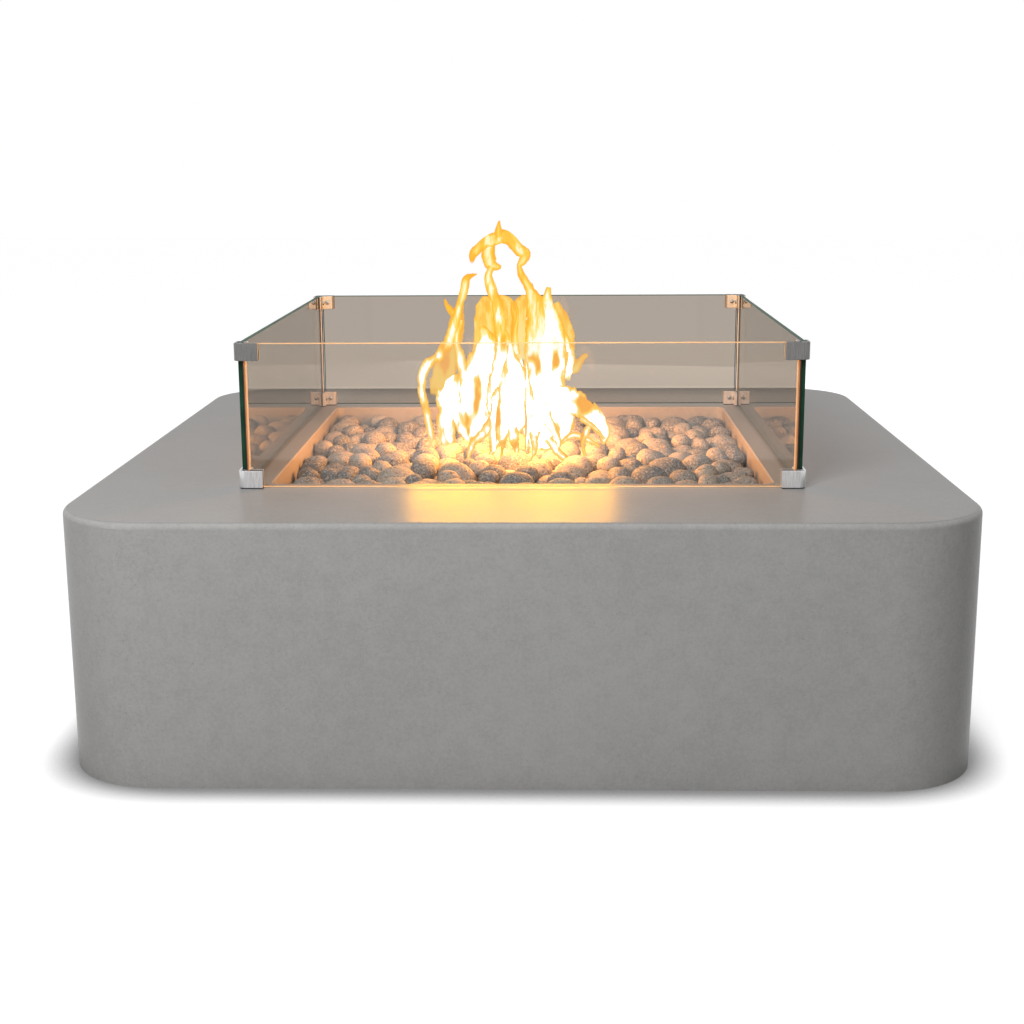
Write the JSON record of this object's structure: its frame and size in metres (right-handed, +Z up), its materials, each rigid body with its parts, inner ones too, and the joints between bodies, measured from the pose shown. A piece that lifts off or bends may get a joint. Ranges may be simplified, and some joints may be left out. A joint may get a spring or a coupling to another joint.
{
  "type": "fire pit",
  "caption": "Square cast concrete gas fire table with rounded corners, a sunken bed of lava stones over a tube burner, and a lift-off glass wind guard held by corner clamps.",
  "frame": {"origin": "on the ground, under the middle of the concrete body", "axes": "+Z up, -Y towards the front that the picture shows, +X to the right as seen from the front"},
  "size_m": [1.232, 1.2823, 0.559],
  "materials": {
    "concrete": "satin",
    "lava": "matte",
    "gravel": "matte",
    "glass": "polished",
    "clamp_aluminium": "satin",
    "stainless": "satin",
    "screw_steel": "satin",
    "chrome": "polished",
    "brass": "satin",
    "black_plastic": "matte",
    "gasket": "matte",
    "rubber": "matte"
  },
  "bodies": {
    "fire_table": {"concrete_body": "concrete", "burner_pan": "stainless", "burner_tubes": "stainless", "burner_nipple": "brass", "pan_lock_nut": "brass", "air_mixer": "brass", "mixer_elbow": "brass", "hose_nut_burner": "brass", "gas_hose": "stainless", "hose_nut_valve": "brass", "valve_body": "brass", "valve_lock_nut": "brass", "valve_escutcheon": "chrome", "lava_gravel": "gravel", "lava_stones": "lava", "access_frame": "stainless", "frame_screws": "screw_steel", "hinge_pins": "screw_steel", "magnet_catch": "black_plastic", "vent_left": "stainless", "vent_right": "stainless", "vent_screws": "screw_steel"},
    "valve_stem": {"valve_stem": "brass"},
    "gas_key": {"gas_key": "chrome", "key_bar": "chrome"},
    "access_door": {"access_door": "stainless", "strike_plate": "screw_steel", "door_pull": "stainless"},
    "wind_guard": {"glass_front": "glass", "glass_back": "glass", "glass_left": "glass", "glass_right": "glass", "top_clamp_back_right": "clamp_aluminium", "top_clamp_back_left": "clamp_aluminium", "top_clamp_front_left": "clamp_aluminium", "top_clamp_front_right": "clamp_aluminium", "bottom_clamp_back_right": "clamp_aluminium", "bottom_clamp_back_left": "clamp_aluminium", "bottom_clamp_front_left": "clamp_aluminium", "bottom_clamp_front_right": "clamp_aluminium", "clamp_screws": "screw_steel", "glass_gaskets": "gasket", "guard_feet": "rubber"}
  },
  "joints": [
    {"name": "guard_lift", "type": "slide", "parent": "fire_table", "child": "wind_guard", "axis": [0, 0, 1], "range_m": [0, 0.25]},
    {"name": "valve_turn", "type": "hinge", "parent": "fire_table", "child": "valve_stem", "pos_m": [-0.26, 0.539, 0.141], "axis": [0, 1, 0], "range_deg": [0, 90]},
    {"name": "key_pull", "type": "slide", "parent": "valve_stem", "child": "gas_key", "axis": [0, 1, 0], "range_m": [0, 0.09]},
    {"name": "door_swing", "type": "hinge", "parent": "fire_table", "child": "access_door", "pos_m": [0.337, 0.6169, 0.135], "axis": [0, 0, -1], "range_deg": [0, 110]}
  ]
}
